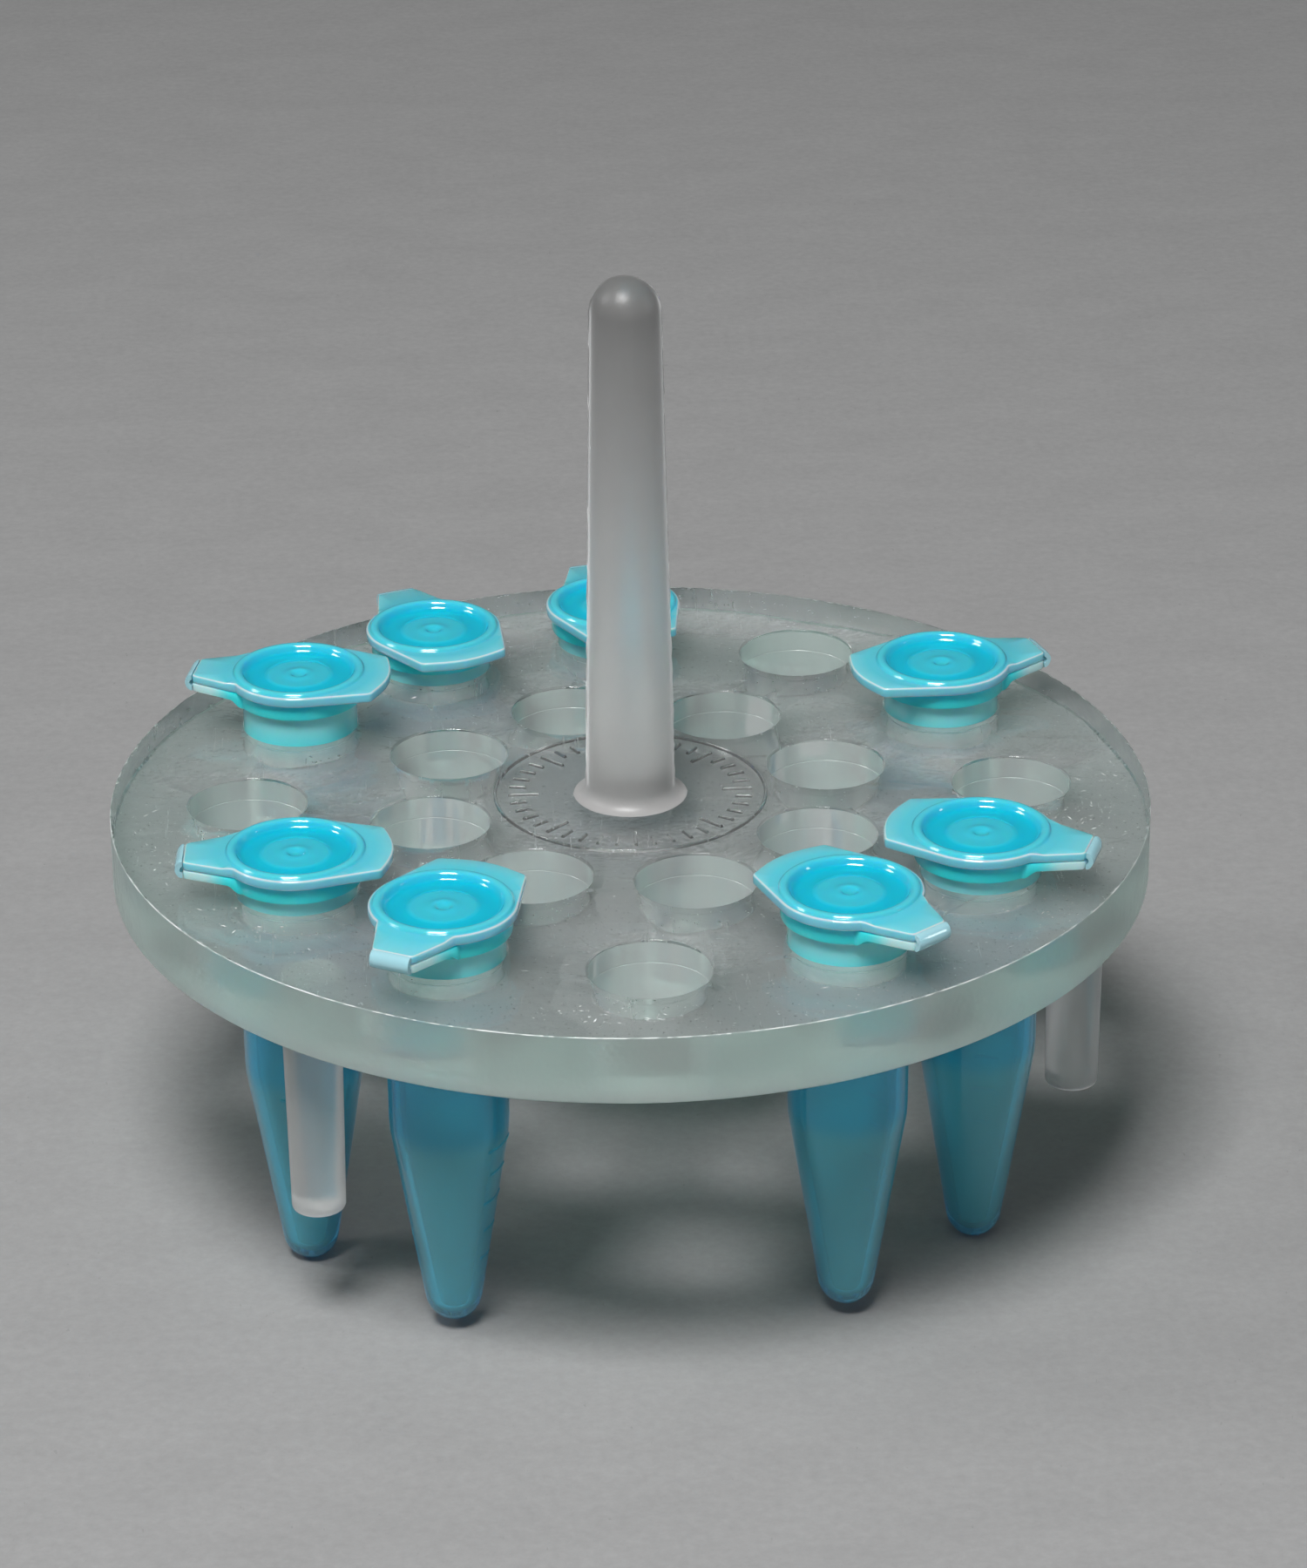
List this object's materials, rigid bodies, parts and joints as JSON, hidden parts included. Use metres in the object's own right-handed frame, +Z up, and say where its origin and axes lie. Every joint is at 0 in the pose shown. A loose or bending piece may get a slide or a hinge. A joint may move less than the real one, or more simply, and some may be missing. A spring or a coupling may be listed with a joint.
{
  "type": "microcentrifuge tube rack",
  "caption": "Round clear plastic bench rack with a centre handle, short legs and two rings of holes, carrying blue snap-cap microcentrifuge tubes.",
  "frame": {"origin": "on the axis of the round plate, at the level of the lowest tube tips, which stand on the table", "axes": "+Z up along the handle, -Y towards the viewer at the empty front place of the outer ring"},
  "size_m": [0.095, 0.095, 0.0874],
  "materials": {
    "clear_plate": "clear, polished, lightly scratched",
    "frosted_plastic": "frosted, fine moulded texture",
    "tube_plastic": "translucent blue, moulded",
    "cap_plastic": "translucent blue, moulded, glossy",
    "hinge_plastic": "translucent blue, whitened by bending"
  },
  "bodies": {
    "rack": {"rack_plate": "clear_plate", "handle": "frosted_plastic", "leg_1": "frosted_plastic", "leg_2": "frosted_plastic", "leg_3": "frosted_plastic"},
    "tube_1": {"tube_1": "tube_plastic", "hinge_1": "hinge_plastic"},
    "cap_1": {"cap_1": "cap_plastic"},
    "tube_2": {"tube_2": "tube_plastic", "hinge_2": "hinge_plastic"},
    "cap_2": {"cap_2": "cap_plastic"},
    "tube_3": {"tube_3": "tube_plastic", "hinge_3": "hinge_plastic"},
    "cap_3": {"cap_3": "cap_plastic"},
    "tube_4": {"tube_4": "tube_plastic", "hinge_4": "hinge_plastic"},
    "cap_4": {"cap_4": "cap_plastic"},
    "tube_5": {"tube_5": "tube_plastic", "hinge_5": "hinge_plastic"},
    "cap_5": {"cap_5": "cap_plastic"},
    "tube_6": {"tube_6": "tube_plastic", "hinge_6": "hinge_plastic"},
    "cap_6": {"cap_6": "cap_plastic"},
    "tube_7": {"tube_7": "tube_plastic", "hinge_7": "hinge_plastic"},
    "cap_7": {"cap_7": "cap_plastic"},
    "tube_8": {"tube_8": "tube_plastic", "hinge_8": "hinge_plastic"},
    "cap_8": {"cap_8": "cap_plastic"}
  },
  "joints": [
    {"name": "tube_1_lift", "type": "slide", "parent": "rack", "child": "tube_1", "axis": [0, 0, 1], "range_m": [0, 0.04]},
    {"name": "cap_1_open", "type": "hinge", "parent": "tube_1", "child": "cap_1", "pos_m": [0.02373, -0.038, 0.0412], "axis": [0.7771, 0.6293, 0], "range_deg": [0, 180], "deforming": ["hinge_1"]},
    {"name": "tube_2_lift", "type": "slide", "parent": "rack", "child": "tube_2", "axis": [0, 0, 1], "range_m": [0, 0.04]},
    {"name": "cap_2_open", "type": "hinge", "parent": "tube_2", "child": "cap_2", "pos_m": [0.03961, -0.02089, 0.0402], "axis": [0.342, 0.9397, 0], "range_deg": [0, 180], "deforming": ["hinge_2"]},
    {"name": "tube_3_lift", "type": "slide", "parent": "rack", "child": "tube_3", "axis": [0, 0, 1], "range_m": [0, 0.04]},
    {"name": "cap_3_open", "type": "hinge", "parent": "tube_3", "child": "cap_3", "pos_m": [0.03973, 0.02056, 0.041], "axis": [-0.309, 0.9511, 0], "range_deg": [0, 180], "deforming": ["hinge_3"]},
    {"name": "tube_4_lift", "type": "slide", "parent": "rack", "child": "tube_4", "axis": [0, 0, 1], "range_m": [0, 0.04]},
    {"name": "cap_4_open", "type": "hinge", "parent": "tube_4", "child": "cap_4", "pos_m": [-0.00206, 0.04468, 0.0402], "axis": [-0.9781, -0.2079, 0], "range_deg": [0, 180], "deforming": ["hinge_4"]},
    {"name": "tube_5_lift", "type": "slide", "parent": "rack", "child": "tube_5", "axis": [0, 0, 1], "range_m": [0, 0.04]},
    {"name": "cap_5_open", "type": "hinge", "parent": "tube_5", "child": "cap_5", "pos_m": [-0.02105, 0.03955, 0.0402], "axis": [-0.9336, -0.3584, 0], "range_deg": [0, 180], "deforming": ["hinge_5"]},
    {"name": "tube_6_lift", "type": "slide", "parent": "rack", "child": "tube_6", "axis": [0, 0, 1], "range_m": [0, 0.04]},
    {"name": "cap_6_open", "type": "hinge", "parent": "tube_6", "child": "cap_6", "pos_m": [-0.04003, 0.01939, 0.0417], "axis": [-0.1908, -0.9816, 0], "range_deg": [0, 180], "deforming": ["hinge_6"]},
    {"name": "tube_7_lift", "type": "slide", "parent": "rack", "child": "tube_7", "axis": [0, 0, 1], "range_m": [0, 0.04]},
    {"name": "cap_7_open", "type": "hinge", "parent": "tube_7", "child": "cap_7", "pos_m": [-0.0402, -0.01715, 0.0402], "axis": [-0.0349, -0.9994, 0], "range_deg": [0, 180], "deforming": ["hinge_7"]},
    {"name": "tube_8_lift", "type": "slide", "parent": "rack", "child": "tube_8", "axis": [0, 0, 1], "range_m": [0, 0.04]},
    {"name": "cap_8_open", "type": "hinge", "parent": "tube_8", "child": "cap_8", "pos_m": [-0.022, -0.03913, 0.04095], "axis": [0.891, -0.454, 0], "range_deg": [0, 180], "deforming": ["hinge_8"]}
  ]
}
